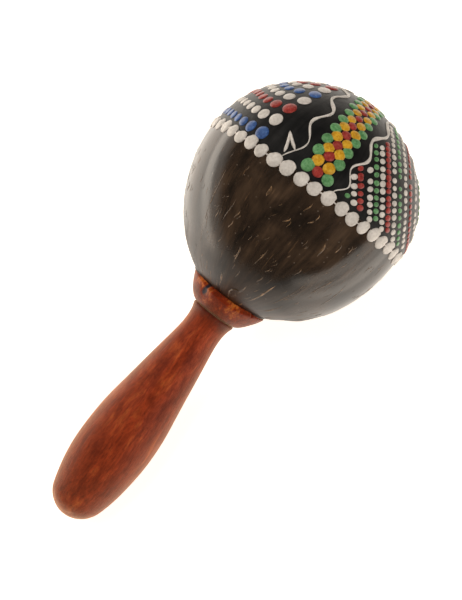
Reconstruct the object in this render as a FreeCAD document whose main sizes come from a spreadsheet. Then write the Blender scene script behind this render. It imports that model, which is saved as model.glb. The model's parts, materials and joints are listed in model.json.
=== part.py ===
"""A coconut-shell maraca, lying on its side as it rests on a table.

Every turned piece is drawn about its own upright axis: height 0 is the butt of the
handle and the crown of the shell is at the top. The finished pieces are then laid down
together, so that the grip and the shell both touch the plane Z = 0, with the crown
towards +X. The origin is under the middle of the whole instrument.
"""

import FreeCAD, Part

import math
import os

import Sketcher

START, END, CENTRE = 1, 2, 3
ORIGIN_POINT = (-1, 1)
UPRIGHT_AXIS = -2
SHEET = "sizes"

# Driving dimensions: alias, value in millimetres unless the note says otherwise, note.
SIZES = [
    ("nut_radius", 51.0, "outside radius of the coconut shell at its seam"),
    ("nut_wall", 3.6, "thickness of the coconut shell"),
    ("seam_height", 187.6, "height of the seam between the two half shells"),
    ("seam_gap", 0.4, "thickness of the glue in the seam"),
    ("side_curve", 73.0, "outline radius of the lower half beside the seam"),
    ("base_curve", 42.8, "outline radius of the lower half round the handle"),
    ("shoulder_curve", 41.3, "outline radius of the upper half beside the seam"),
    ("crown_curve", 53.5, "outline radius of the upper half at the crown"),
    ("hole_radius", 6.8, "hole in the lower half for the tenon"),
    ("grip_radius", 17.5, "largest radius of the handle"),
    ("grip_height", 40.0, "height of that largest radius"),
    ("butt_curve", 110.0, "outline radius from the butt to the largest radius"),
    ("belly_curve", 150.0, "outline radius above the largest radius"),
    ("neck_radius", 9.55, "smallest radius of the handle"),
    ("neck_height", 109.0, "height of that smallest radius"),
    ("taper_curve", 50.0, "hollow outline radius below the neck"),
    ("flare_curve", 16.0, "hollow outline radius above the neck"),
    ("flare_height", 116.4, "height where the flare ends in the groove"),
    ("joint_height", 117.1, "height of the joint between handle and collar"),
    ("groove_radius", 10.5, "radius at the bottom of the V groove at that joint"),
    ("groove_top", 118.0, "height of the upper edge of the groove"),
    ("collar_foot", 12.1, "radius of the collar at the upper edge of the groove"),
    ("collar_curve", 26.0, "outline radius of the collar's flare"),
    ("rim_radius", 19.9, "outside radius of the collar's rim"),
    ("rim_height", 128.0, "height of the collar's rim"),
    ("bore_radius", 6.55, "bore of the collar"),
    ("tenon_radius", 6.5, "round tenon on top of the handle"),
    ("tenon_height", 133.0, "height of the tenon's end"),
    ("tenon_chamfer", 1.0, "chamfer on the tenon's end"),
    ("glue_layer", 0.3, "thickness of the glue between collar and shell"),
    ("bead_height", 128.9, "height where the glue bead at the rim meets the shell"),
    ("bead_radius", 19.35, "radius of that bead on the rim"),
    ("fillet_radius", 9.6, "reach of the glue fillet inside the shell, round the tenon"),
    ("fillet_height", 131.4, "height of that fillet on the tenon"),
    ("fillet_foot", 124.7, "height where the glue round the tenon starts"),
    ("seed_radius", 2.7, "radius of one seed"),
    ("seed_pitch", 6.0, "distance between neighbouring seeds, seen from above"),
    ("seed_clearance", 0.2, "gap left between a seed and the wall"),
    ("heap_radius", 15.9, "radius of the heap of seeds, seen from above"),
    ("roll", 60.0, "turn of the pieces about their axis, in degrees"),
]
SIZE = {alias: value for alias, value, note in SIZES}


# ---------------------------------------------------------------- document and sheet


def new_document():
    """The document with its sheet of driving dimensions."""
    doc = FreeCAD.newDocument("maraca")
    sheet = doc.addObject("Spreadsheet::Sheet", SHEET)
    for row, (alias, value, note) in enumerate(SIZES, start=1):
        sheet.set(f"A{row}", note)
        sheet.set(f"B{row}", str(value))
        sheet.setAlias(f"B{row}", alias)
    doc.recompute()
    return doc


def cell(alias):
    """The expression that reads one driving dimension."""
    return f"{SHEET}.{alias}"


# ---------------------------------------------------------------- outlines


class Outline:
    """A closed half outline in the body's XZ plane, turned once round the upright axis."""

    def __init__(self, doc, label):
        self.body = doc.addObject("PartDesign::Body", label)
        self.body.Label = label
        plane = next(
            f for f in self.body.Origin.OriginFeatures if f.Role == "XZ_Plane"
        )
        self.sketch = self.body.newObject("Sketcher::SketchObject", label + "_outline")
        self.sketch.AttachmentSupport = [(plane, "")]
        self.sketch.MapMode = "FlatFace"

    def line(self, start, end):
        a, b = (FreeCAD.Vector(x, y, 0) for x, y in (start, end))
        return self.sketch.addGeometry(Part.LineSegment(a, b), False)

    def arc(self, centre, radius, from_deg, to_deg):
        """An arc that runs anticlockwise between two angles, 0 being away from the axis."""
        circle = Part.Circle(
            FreeCAD.Vector(centre[0], centre[1], 0), FreeCAD.Vector(0, 0, 1), radius
        )
        limits = math.radians(from_deg), math.radians(to_deg)
        return self.sketch.addGeometry(Part.ArcOfCircle(circle, *limits), False)

    def add(self, kind, *where):
        return self.sketch.addConstraint(Sketcher.Constraint(kind, *where))

    def join(self, first, first_end, second, second_end):
        self.add("Coincident", first, first_end, second, second_end)

    def smooth(self, first, first_end, second, second_end):
        self.add("Tangent", first, first_end, second, second_end)

    def bind(self, kind, where, expression):
        """A sized constraint whose value comes from the sheet."""
        index = self.add(kind, *where)
        self.sketch.setExpression(f"Constraints[{index}]", expression)

    def across(self, edge, point, expression):
        self.bind("DistanceX", (*ORIGIN_POINT, edge, point, self.at(edge, point).x), expression)

    def up(self, edge, point, expression):
        self.bind("DistanceY", (*ORIGIN_POINT, edge, point, self.at(edge, point).y), expression)

    def radius(self, edge, expression):
        self.bind("Radius", (edge, self.sketch.Geometry[edge].Radius), expression)

    def at(self, edge, point):
        return self.sketch.getPoint(edge, point)

    def on_axis(self, edge, point):
        self.add("PointOnObject", edge, point, UPRIGHT_AXIS)

    def turn(self, doc):
        """Turns the outline into the solid, and returns the body."""
        doc.recompute()
        if not self.sketch.FullyConstrained:
            raise RuntimeError(f"{self.body.Label}: the outline is not fully constrained")
        turned = self.body.newObject("PartDesign::Revolution", self.body.Label + "_turned")
        turned.Profile = self.sketch
        turned.ReferenceAxis = (self.sketch, ["V_Axis"])
        turned.Angle = 360.0
        doc.recompute()
        return self.body


# ---------------------------------------------------------------- derived places


def nose_centre_height():
    """Height of the centre of the round end of the butt, which is also its radius."""
    across = SIZE["grip_radius"] - SIZE["butt_curve"]
    up = SIZE["grip_height"]
    return (across**2 + up**2 - SIZE["butt_curve"] ** 2) / (2 * (up - SIZE["butt_curve"]))


def junction_angle(equator, near_seam, near_end):
    """Angle from the seam at which two tangent outline arcs of a half shell meet."""
    return math.acos((near_seam - equator) / (near_seam - near_end))


def base_centre_height():
    """Height, on the axis, of the centre of the arc round the handle."""
    angle = junction_angle(SIZE["nut_radius"], SIZE["side_curve"], SIZE["base_curve"])
    return SIZE["seam_height"] - (SIZE["side_curve"] - SIZE["base_curve"]) * math.sin(angle)


def crown_centre_height():
    """Height, on the axis, of the centre of the arc at the crown."""
    angle = junction_angle(SIZE["nut_radius"], SIZE["shoulder_curve"], SIZE["crown_curve"])
    return SIZE["seam_height"] - (SIZE["crown_curve"] - SIZE["shoulder_curve"]) * math.sin(angle)


BASE_CENTRE = (
    f"{cell('seam_height')} - sqrt(({cell('side_curve')} - {cell('base_curve')})^2"
    f" - ({cell('side_curve')} - {cell('nut_radius')})^2)"
)


def arc_angle(centre, point):
    """Angle, in degrees, of a point as seen from an arc's centre."""
    return math.degrees(math.atan2(point[1] - centre[1], point[0] - centre[0]))


def point_on_base(radius, across):
    """Point at a distance from the axis on an arc concentric with the shell's base."""
    return across, base_centre_height() - math.sqrt(radius**2 - across**2)


# ---------------------------------------------------------------- turned pieces


def make_handle(doc):
    """The grip with its round tenon, turned from one piece of wood."""
    s = SIZE
    low = (s["grip_radius"] - s["butt_curve"], s["grip_height"])
    high = (s["grip_radius"] - s["belly_curve"], s["grip_height"])
    nose_radius = nose_centre_height()
    nose_angle = arc_angle(low, (0, nose_radius))
    taper = (s["neck_radius"] + s["taper_curve"], s["neck_height"])
    flare = (s["neck_radius"] + s["flare_curve"], s["neck_height"])
    reach = s["belly_curve"] + s["taper_curve"]
    apart = math.hypot(taper[0] - high[0], taper[1] - high[1])
    slope = arc_angle(high, taper) - math.degrees(math.acos(reach / apart))
    lean = math.cos(math.radians(slope)), math.sin(math.radians(slope))
    flare_angle = math.degrees(
        math.asin((s["flare_height"] - s["neck_height"]) / s["flare_curve"])
    )
    flare_end = flare[0] - s["flare_curve"] * math.cos(math.radians(flare_angle))
    chamfer = s["tenon_height"] - s["tenon_chamfer"]

    o = Outline(doc, "handle")
    nose = o.arc((0, nose_radius), nose_radius, -90, nose_angle)
    butt = o.arc(low, s["butt_curve"], nose_angle, 0)
    belly = o.arc(high, s["belly_curve"], 0, slope)
    side = o.line(
        (high[0] + s["belly_curve"] * lean[0], high[1] + s["belly_curve"] * lean[1]),
        (taper[0] - s["taper_curve"] * lean[0], taper[1] - s["taper_curve"] * lean[1]),
    )
    below_neck = o.arc(taper, s["taper_curve"], 180, 180 + slope)
    above_neck = o.arc(flare, s["flare_curve"], 180 - flare_angle, 180)
    groove = o.line((flare_end, s["flare_height"]), (s["groove_radius"], s["joint_height"]))
    shoulder = o.line(
        (s["groove_radius"], s["joint_height"]), (s["tenon_radius"], s["joint_height"])
    )
    tenon = o.line((s["tenon_radius"], s["joint_height"]), (s["tenon_radius"], chamfer))
    bevel = o.line(
        (s["tenon_radius"], chamfer),
        (s["tenon_radius"] - s["tenon_chamfer"], s["tenon_height"]),
    )
    top = o.line(
        (s["tenon_radius"] - s["tenon_chamfer"], s["tenon_height"]), (0, s["tenon_height"])
    )
    axis = o.line((0, s["tenon_height"]), (0, 0))

    o.join(nose, START, *ORIGIN_POINT)
    o.on_axis(nose, CENTRE)
    o.smooth(nose, END, butt, START)
    o.smooth(butt, END, belly, START)
    o.smooth(belly, END, side, START)
    o.smooth(side, END, below_neck, END)
    o.smooth(below_neck, START, above_neck, END)
    o.join(above_neck, START, groove, START)
    for first, second in zip(
        (groove, shoulder, tenon, bevel, top), (shoulder, tenon, bevel, top, axis)
    ):
        o.join(first, END, second, START)
    o.join(axis, END, nose, START)
    for flat in (shoulder, top):
        o.add("Horizontal", flat)
    for upright in (tenon, axis):
        o.add("Vertical", upright)

    o.radius(butt, cell("butt_curve"))
    o.radius(belly, cell("belly_curve"))
    o.radius(below_neck, cell("taper_curve"))
    o.radius(above_neck, cell("flare_curve"))
    o.up(butt, CENTRE, cell("grip_height"))
    o.up(belly, CENTRE, cell("grip_height"))
    o.across(butt, END, cell("grip_radius"))
    o.up(below_neck, CENTRE, cell("neck_height"))
    o.up(above_neck, CENTRE, cell("neck_height"))
    o.across(below_neck, START, cell("neck_radius"))
    o.up(above_neck, START, cell("flare_height"))
    o.across(groove, END, cell("groove_radius"))
    o.up(groove, END, cell("joint_height"))
    o.across(shoulder, END, cell("tenon_radius"))
    o.up(tenon, END, f"{cell('tenon_height')} - {cell('tenon_chamfer')}")
    o.across(bevel, END, f"{cell('tenon_radius')} - {cell('tenon_chamfer')}")
    o.up(bevel, END, cell("tenon_height"))
    return o.turn(doc)


def make_collar(doc):
    """The flared wooden cup that the shell sits in, bored for the tenon."""
    s = SIZE
    bowl_radius = s["base_curve"] + s["glue_layer"]
    centre = (0, base_centre_height())
    bowl_top = math.sqrt(bowl_radius**2 - (centre[1] - s["rim_height"]) ** 2)
    bore_top = point_on_base(bowl_radius, s["bore_radius"])
    foot = (s["collar_foot"], s["groove_top"])
    rim = (s["rim_radius"], s["rim_height"])
    chord = math.hypot(rim[0] - foot[0], rim[1] - foot[1])
    drop = math.sqrt(s["collar_curve"] ** 2 - chord**2 / 4) / chord
    flare = (
        (foot[0] + rim[0]) / 2 - (rim[1] - foot[1]) * drop,
        (foot[1] + rim[1]) / 2 + (rim[0] - foot[0]) * drop,
    )

    o = Outline(doc, "collar")
    base = o.line((s["bore_radius"], s["joint_height"]), (s["groove_radius"], s["joint_height"]))
    groove = o.line((s["groove_radius"], s["joint_height"]), foot)
    outside = o.arc(flare, s["collar_curve"], arc_angle(flare, foot), arc_angle(flare, rim))
    lip = o.line(rim, (bowl_top, s["rim_height"]))
    bowl = o.arc(
        centre,
        bowl_radius,
        arc_angle(centre, bore_top),
        arc_angle(centre, (bowl_top, s["rim_height"])),
    )
    bore = o.line(bore_top, (s["bore_radius"], s["joint_height"]))

    o.join(base, END, groove, START)
    o.join(groove, END, outside, START)
    o.join(outside, END, lip, START)
    o.join(lip, END, bowl, END)
    o.join(bowl, START, bore, START)
    o.join(bore, END, base, START)
    o.add("Horizontal", base)
    o.add("Horizontal", lip)
    o.add("Vertical", bore)
    o.across(base, START, cell("bore_radius"))
    o.up(base, START, cell("joint_height"))
    o.across(base, END, cell("groove_radius"))
    o.across(groove, END, cell("collar_foot"))
    o.up(groove, END, cell("groove_top"))
    o.radius(outside, cell("collar_curve"))
    o.across(outside, END, cell("rim_radius"))
    o.up(outside, END, cell("rim_height"))
    o.on_axis(bowl, CENTRE)
    o.up(bowl, CENTRE, BASE_CENTRE)
    o.radius(bowl, f"{cell('base_curve')} + {cell('glue_layer')}")
    return o.turn(doc)


def make_lower_shell(doc):
    """The half of the coconut with the hole for the tenon."""
    s = SIZE
    side = (s["nut_radius"] - s["side_curve"], s["seam_height"])
    base = (0, base_centre_height())
    meet = -math.degrees(junction_angle(s["nut_radius"], s["side_curve"], s["base_curve"]))
    rim = s["seam_height"] - s["seam_gap"] / 2
    inner_side, inner_base = s["side_curve"] - s["nut_wall"], s["base_curve"] - s["nut_wall"]

    def rim_angle(radius):
        return -math.degrees(math.asin((s["seam_height"] - rim) / radius))

    def rim_point(radius):
        return side[0] + radius * math.cos(math.radians(rim_angle(radius))), rim

    hole_outside = point_on_base(s["base_curve"], s["hole_radius"])
    hole_inside = point_on_base(inner_base, s["hole_radius"])

    o = Outline(doc, "lower_shell")
    outer_base = o.arc(base, s["base_curve"], arc_angle(base, hole_outside), meet)
    outer_side = o.arc(side, s["side_curve"], meet, rim_angle(s["side_curve"]))
    edge = o.line(rim_point(s["side_curve"]), rim_point(inner_side))
    hollow_side = o.arc(side, inner_side, meet, rim_angle(inner_side))
    hollow_base = o.arc(base, inner_base, arc_angle(base, hole_inside), meet)
    hole = o.line(hole_inside, hole_outside)

    o.smooth(outer_base, END, outer_side, START)
    o.join(outer_side, END, edge, START)
    o.join(edge, END, hollow_side, END)
    o.smooth(hollow_side, START, hollow_base, END)
    o.join(hollow_base, START, hole, START)
    o.join(hole, END, outer_base, START)
    o.join(hollow_side, CENTRE, outer_side, CENTRE)
    o.join(hollow_base, CENTRE, outer_base, CENTRE)
    o.add("Horizontal", edge)
    o.add("Vertical", hole)
    o.on_axis(outer_base, CENTRE)
    o.radius(outer_base, cell("base_curve"))
    o.radius(outer_side, cell("side_curve"))
    o.radius(hollow_side, f"{cell('side_curve')} - {cell('nut_wall')}")
    o.across(outer_side, CENTRE, f"{cell('nut_radius')} - {cell('side_curve')}")
    o.up(outer_side, CENTRE, cell("seam_height"))
    o.up(edge, START, f"{cell('seam_height')} - {cell('seam_gap')} / 2")
    o.across(hole, START, cell("hole_radius"))
    return o.turn(doc)


def make_upper_shell(doc):
    """The closed half of the coconut, which carries the painting."""
    s = SIZE
    shoulder = (s["nut_radius"] - s["shoulder_curve"], s["seam_height"])
    crown = (0, crown_centre_height())
    meet = math.degrees(
        junction_angle(s["nut_radius"], s["shoulder_curve"], s["crown_curve"])
    )
    rim = s["seam_height"] + s["seam_gap"] / 2
    inner_shoulder = s["shoulder_curve"] - s["nut_wall"]
    inner_crown = s["crown_curve"] - s["nut_wall"]

    def rim_angle(radius):
        return math.degrees(math.asin((rim - s["seam_height"]) / radius))

    def rim_point(radius):
        return shoulder[0] + radius * math.cos(math.radians(rim_angle(radius))), rim

    o = Outline(doc, "upper_shell")
    outer_shoulder = o.arc(shoulder, s["shoulder_curve"], rim_angle(s["shoulder_curve"]), meet)
    outer_crown = o.arc(crown, s["crown_curve"], meet, 90)
    axis = o.line((0, crown[1] + s["crown_curve"]), (0, crown[1] + inner_crown))
    hollow_crown = o.arc(crown, inner_crown, meet, 90)
    hollow_shoulder = o.arc(shoulder, inner_shoulder, rim_angle(inner_shoulder), meet)
    edge = o.line(rim_point(inner_shoulder), rim_point(s["shoulder_curve"]))

    o.smooth(outer_shoulder, END, outer_crown, START)
    o.join(outer_crown, END, axis, START)
    o.join(axis, END, hollow_crown, END)
    o.smooth(hollow_crown, START, hollow_shoulder, END)
    o.join(hollow_shoulder, START, edge, START)
    o.join(edge, END, outer_shoulder, START)
    o.join(hollow_shoulder, CENTRE, outer_shoulder, CENTRE)
    o.join(hollow_crown, CENTRE, outer_crown, CENTRE)
    o.add("Horizontal", edge)
    o.add("Vertical", axis)
    o.on_axis(outer_crown, CENTRE)
    o.on_axis(outer_crown, END)
    o.radius(outer_shoulder, cell("shoulder_curve"))
    o.radius(outer_crown, cell("crown_curve"))
    o.radius(hollow_shoulder, f"{cell('shoulder_curve')} - {cell('nut_wall')}")
    o.across(outer_shoulder, CENTRE, f"{cell('nut_radius')} - {cell('shoulder_curve')}")
    o.up(outer_shoulder, CENTRE, cell("seam_height"))
    o.up(edge, START, f"{cell('seam_height')} + {cell('seam_gap')} / 2")
    return o.turn(doc)


# ---------------------------------------------------------------- glue


def make_seam_glue(doc):
    """The ring of glue that joins the two halves of the coconut."""
    outer = doc.addObject("Part::Cylinder", "seam_disc")
    outer.setExpression("Radius", cell("nut_radius"))
    outer.setExpression("Height", cell("seam_gap"))
    inner = doc.addObject("Part::Cylinder", "seam_hollow")
    inner.setExpression("Radius", f"{cell('nut_radius')} - {cell('nut_wall')}")
    inner.setExpression("Height", cell("seam_gap"))
    for disc in (outer, inner):
        disc.setExpression(
            "Placement.Base.z", f"{cell('seam_height')} - {cell('seam_gap')} / 2"
        )
    ring = doc.addObject("Part::Cut", "seam_glue")
    ring.Label = "seam_glue"
    ring.Base, ring.Tool = outer, inner
    doc.recompute()
    return ring


def make_seat_glue(doc):
    """The glue between the collar's bowl and the shell, with a bead along the rim."""
    s = SIZE
    centre = (0, base_centre_height())
    bowl_radius = s["base_curve"] + s["glue_layer"]
    bead_top = math.sqrt(s["base_curve"] ** 2 - (centre[1] - s["bead_height"]) ** 2)
    bowl_top = math.sqrt(bowl_radius**2 - (centre[1] - s["rim_height"]) ** 2)
    shell_start = point_on_base(s["base_curve"], s["hole_radius"])
    bowl_start = point_on_base(bowl_radius, s["hole_radius"])

    o = Outline(doc, "seat_glue")
    on_shell = o.arc(
        centre,
        s["base_curve"],
        arc_angle(centre, shell_start),
        arc_angle(centre, (bead_top, s["bead_height"])),
    )
    bead = o.line((bead_top, s["bead_height"]), (s["bead_radius"], s["rim_height"]))
    on_lip = o.line((s["bead_radius"], s["rim_height"]), (bowl_top, s["rim_height"]))
    on_bowl = o.arc(
        centre,
        bowl_radius,
        arc_angle(centre, bowl_start),
        arc_angle(centre, (bowl_top, s["rim_height"])),
    )
    inner = o.line(bowl_start, shell_start)

    o.join(on_shell, END, bead, START)
    o.join(bead, END, on_lip, START)
    o.join(on_lip, END, on_bowl, END)
    o.join(on_bowl, START, inner, START)
    o.join(inner, END, on_shell, START)
    o.join(on_bowl, CENTRE, on_shell, CENTRE)
    o.add("Horizontal", on_lip)
    o.add("Vertical", inner)
    o.on_axis(on_shell, CENTRE)
    o.up(on_shell, CENTRE, BASE_CENTRE)
    o.radius(on_shell, cell("base_curve"))
    o.radius(on_bowl, f"{cell('base_curve')} + {cell('glue_layer')}")
    o.up(bead, START, cell("bead_height"))
    o.across(bead, END, cell("bead_radius"))
    o.up(bead, END, cell("rim_height"))
    o.across(inner, START, cell("hole_radius"))
    return o.turn(doc)


def make_tenon_glue(doc):
    """The glue that fills the hole round the tenon and forms a fillet inside the shell."""
    s = SIZE
    centre = (0, base_centre_height())
    wall_radius = s["base_curve"] - s["nut_wall"]
    foot_out = (s["hole_radius"], s["fillet_foot"])
    wall_start = point_on_base(wall_radius, s["hole_radius"])
    wall_end = point_on_base(wall_radius, s["fillet_radius"])

    o = Outline(doc, "tenon_glue")
    foot = o.line((s["tenon_radius"], s["fillet_foot"]), foot_out)
    hole = o.line(foot_out, wall_start)
    wall = o.arc(centre, wall_radius, arc_angle(centre, wall_start), arc_angle(centre, wall_end))
    slope = o.line(wall_end, (s["tenon_radius"], s["fillet_height"]))
    tenon = o.line((s["tenon_radius"], s["fillet_height"]), (s["tenon_radius"], s["fillet_foot"]))

    o.join(foot, END, hole, START)
    o.join(hole, END, wall, START)
    o.join(wall, END, slope, START)
    o.join(slope, END, tenon, START)
    o.join(tenon, END, foot, START)
    o.add("Horizontal", foot)
    o.add("Vertical", hole)
    o.add("Vertical", tenon)
    o.across(foot, START, cell("tenon_radius"))
    o.up(foot, START, cell("fillet_foot"))
    o.across(foot, END, cell("hole_radius"))
    o.on_axis(wall, CENTRE)
    o.up(wall, CENTRE, BASE_CENTRE)
    o.radius(wall, f"{cell('base_curve')} - {cell('nut_wall')}")
    o.across(wall, END, cell("fillet_radius"))
    o.up(tenon, START, cell("fillet_height"))
    return o.turn(doc)


# ---------------------------------------------------------------- lying at rest


def rest_tilt():
    """Angle, in radians, between the axis and the table with grip and shell touching it."""
    across = (SIZE["nut_radius"] - SIZE["side_curve"]) - (SIZE["grip_radius"] - SIZE["butt_curve"])
    along = SIZE["seam_height"] - SIZE["grip_height"]
    rise = SIZE["butt_curve"] - SIZE["side_curve"]
    return math.acos(rise / math.hypot(across, along)) - math.atan2(along, across)


def laid_down(radial, height):
    """X and Z, before centring, of a point in the upright plane on the table side."""
    tilt = rest_tilt()
    x = height * math.cos(tilt) + radial * math.sin(tilt)
    z = height * math.sin(tilt) - radial * math.cos(tilt)
    return x, z


def rest_placement():
    """The placement that lays the upright pieces down, over the middle of their box.

    The roll about the axis keeps the line where each turned surface closes on itself
    away from the places that touch the table.
    """
    tilt = rest_tilt()
    side = (SIZE["nut_radius"] - SIZE["side_curve"], SIZE["seam_height"])
    lift = SIZE["side_curve"] - laid_down(*side)[1]
    nose_radius = nose_centre_height()
    butt_end = laid_down(0, nose_radius)[0] - nose_radius
    crown_end = laid_down(0, crown_centre_height())[0] + SIZE["crown_curve"]
    lean = FreeCAD.Rotation(FreeCAD.Vector(0, 1, 0), 90 - math.degrees(tilt))
    roll = FreeCAD.Rotation(FreeCAD.Vector(0, 0, 1), SIZE["roll"])
    middle = -(butt_end + crown_end) / 2
    return FreeCAD.Placement(FreeCAD.Vector(middle, 0, lift), lean * roll)


# ---------------------------------------------------------------- seeds


def room_for_seed(point):
    """Distance a seed's centre has left before the seed is its clearance from the wall.

    The wall is the inside of the two half shells. The point is in the laid-down frame.
    """
    upright = rest_placement().inverse().multVec(point)
    across, height = math.hypot(upright.x, upright.y), upright.z - SIZE["seam_height"]
    if height < 0:
        near_seam, near_end = SIZE["side_curve"], SIZE["base_curve"]
    else:
        near_seam, near_end = SIZE["shoulder_curve"], SIZE["crown_curve"]
    meet = junction_angle(SIZE["nut_radius"], near_seam, near_end)
    side_centre = SIZE["nut_radius"] - near_seam
    up = abs(height)
    if math.atan2(up, across - side_centre) <= meet:
        reach = near_seam - math.hypot(across - side_centre, up)
    else:
        end_centre = (near_seam - near_end) * math.sin(meet)
        reach = near_end - math.hypot(across, up - end_centre)
    return reach - SIZE["nut_wall"] - SIZE["seed_radius"] - SIZE["seed_clearance"]


def stop_height(x, y, inside, outside):
    """Height at which a seed on one vertical line meets the wall, by halving."""
    while abs(outside - inside) > 1e-7:
        middle = (inside + outside) / 2
        if room_for_seed(FreeCAD.Vector(x, y, middle)) > 0:
            inside = middle
        else:
            outside = middle
    return inside


def heap_spots():
    """Places of the seeds seen from above: a close triangular pattern about its own middle."""
    pitch, reach = SIZE["seed_pitch"], SIZE["heap_radius"]
    row_pitch = pitch * math.sqrt(3) / 2
    count = int(reach // row_pitch) + 2
    for row in range(-count, count + 1):
        for step in range(-count, count + 1):
            x = (row + 1 / 3) * row_pitch
            y = (step + ((row + 1) % 2) / 2) * pitch
            if math.hypot(x, y) <= reach:
                yield x, y


def seed_places():
    """For each seed: its resting centre, and how far it can be thrown straight up."""
    placement = rest_placement()
    side = FreeCAD.Vector(SIZE["nut_radius"] - SIZE["side_curve"], 0, SIZE["seam_height"])
    lowest = placement.multVec(side)
    middle = placement.multVec(FreeCAD.Vector(0, 0, SIZE["seam_height"]))
    places = []
    for x, y in heap_spots():
        x += lowest.x
        bottom = stop_height(x, y, middle.z, 0.0)
        top = stop_height(x, y, middle.z, 2 * middle.z)
        places.append((FreeCAD.Vector(x, y, bottom), top - bottom))
    return places


def make_seeds(doc):
    """The loose round seeds that rattle, in one layer in the lowest part of the shell."""
    seeds = []
    for number, (centre, travel) in enumerate(seed_places(), start=1):
        seed = doc.addObject("Part::Sphere", f"seed_{number:02d}")
        seed.Label = f"seed_{number:02d}"
        seed.setExpression("Radius", cell("seed_radius"))
        seed.Placement = FreeCAD.Placement(centre, FreeCAD.Rotation())
        seeds.append(seed)
    doc.recompute()
    return seeds


# ---------------------------------------------------------------- checks and export


def check(doc, pieces):
    """Stops with a plain message if anything in the document failed."""
    for item in doc.Objects:
        if any(word in item.State for word in ("Invalid", "Error")):
            raise RuntimeError(f"{item.Label} failed: {item.State}")
    for piece in pieces:
        shape = piece.Shape
        if shape.isNull() or not shape.isValid() or shape.Volume <= 0:
            raise RuntimeError(f"{piece.Label} has no valid solid")


def main():
    doc = new_document()
    turned = [
        make_handle(doc),
        make_collar(doc),
        make_lower_shell(doc),
        make_upper_shell(doc),
        make_seam_glue(doc),
        make_seat_glue(doc),
        make_tenon_glue(doc),
    ]
    for piece in turned:
        piece.Placement = rest_placement()
    seeds = make_seeds(doc)
    doc.recompute()
    pieces = turned + seeds
    check(doc, pieces)
    os.makedirs("parts", exist_ok=True)
    for piece in pieces:
        piece.Shape.exportStep(f"parts/{piece.Label}.step")
    print(f"{len(pieces)} pieces, tilt {math.degrees(rest_tilt()):.2f} degrees")
    return doc


main()
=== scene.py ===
"""Looks for the coconut-shell maraca: finer wood and shell, painted dots and lines, light and camera."""

import functools
import json
import math
import random

import bmesh
import bpy
import numpy as np
from mathutils import Matrix, Vector, noise


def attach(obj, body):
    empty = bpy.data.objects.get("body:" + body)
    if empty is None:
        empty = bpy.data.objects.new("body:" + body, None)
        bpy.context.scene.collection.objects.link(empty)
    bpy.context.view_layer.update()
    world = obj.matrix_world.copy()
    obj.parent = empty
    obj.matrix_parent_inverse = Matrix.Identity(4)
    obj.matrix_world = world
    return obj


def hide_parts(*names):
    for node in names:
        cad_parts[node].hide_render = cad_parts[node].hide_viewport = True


MM = 0.001

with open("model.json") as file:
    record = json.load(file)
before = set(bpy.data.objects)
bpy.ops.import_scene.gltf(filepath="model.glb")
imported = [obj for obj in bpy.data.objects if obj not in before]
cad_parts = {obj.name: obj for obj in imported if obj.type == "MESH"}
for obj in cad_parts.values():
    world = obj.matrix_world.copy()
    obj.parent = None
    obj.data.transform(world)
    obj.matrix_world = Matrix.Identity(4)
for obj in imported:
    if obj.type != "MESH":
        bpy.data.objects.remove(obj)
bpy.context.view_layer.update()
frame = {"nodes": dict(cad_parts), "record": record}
BODY = "maraca"


# ---------------------------- places on the instrument

MOUNTS = {mount["name"]: mount for mount in frame["record"]["mounts"]}
NECK_HEIGHT = 109.0 * MM
SEAM_HEIGHT = 187.6 * MM

AXIS = Vector(MOUNTS["neck"]["axis"]).normalized()
UPWARD = Vector((-AXIS.z, 0, AXIS.x))
SIDEWAYS = Vector((0, -1, 0))
BUTT = Vector(MOUNTS["neck"]["pos_m"]) - AXIS * NECK_HEIGHT
SEAM_CENTRE = BUTT + AXIS * SEAM_HEIGHT

# Rows are the upward, the sideways and the axis direction, so this turns frame into own axes.
TO_OWN = Matrix((UPWARD, SIDEWAYS, AXIS))


def at(height, upward=0.0, sideways=0.0):
    """A point in the frame from its height along the axis and its two distances off it."""
    return BUTT + AXIS * height + UPWARD * upward + SIDEWAYS * sideways


def heading(latitude, around):
    """Unit direction from the seam's centre: latitude towards the crown, around from the top."""
    flat = math.cos(latitude)
    return Vector((flat * math.cos(around), flat * math.sin(around), math.sin(latitude)))


def heading_degrees(latitude, around):
    return heading(math.radians(latitude), math.radians(around))


def in_own(turn, radius, height):
    """A place in the instrument's own axes, with the butt at nought."""
    return Vector((radius * math.cos(turn), radius * math.sin(turn), height))


def in_frame(own):
    """A direction or offset in the instrument's own axes, turned into the frame."""
    return UPWARD * own.x + SIDEWAYS * own.y + AXIS * own.z


# ---------------------------- the coconut's surface

NUT_RADIUS = 51.0 * MM
NUT_WALL = 3.6 * MM
HOLE_RADIUS = 6.8 * MM
SEAM_GAP = 0.4 * MM
LOWER_CURVES = (73.0 * MM, 42.8 * MM)
UPPER_CURVES = (41.3 * MM, 53.5 * MM)
LUMP_SIZE = 0.35 * MM
RIDGE_SIZE = 0.30 * MM
OVERHANG = 0.45 * MM

# Where the nut grew unevenly: latitude, turn and width in degrees, and how far it stands out.
SWELLINGS = (
    (-6, -92, 30, 1.1 * MM),
    (-36, -92, 24, 1.2 * MM),
    (-40, 84, 30, 1.9 * MM),
)
SWELL_FADE = (math.radians(56), math.radians(66))


def plain_radius(latitude, inset=0.0):
    """Distance from the seam's centre to the smooth outline, or to one set in from it."""
    near, end = UPPER_CURVES if latitude >= 0 else LOWER_CURVES
    latitude = abs(latitude)
    side = NUT_RADIUS - near
    meet = math.acos((near - NUT_RADIUS) / (near - end))
    lift = (near - end) * math.sin(meet)
    junction = math.atan2(near * math.sin(meet), side + near * math.cos(meet))
    if latitude <= junction:
        reach, along, across = near - inset, side * math.cos(latitude), side * math.sin(latitude)
    else:
        reach, along, across = end - inset, lift * math.sin(latitude), lift * math.cos(latitude)
    return along + math.sqrt(reach**2 - across**2)


def latitude_of(own):
    return math.asin(max(-1.0, min(1.0, own.z)))


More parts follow.
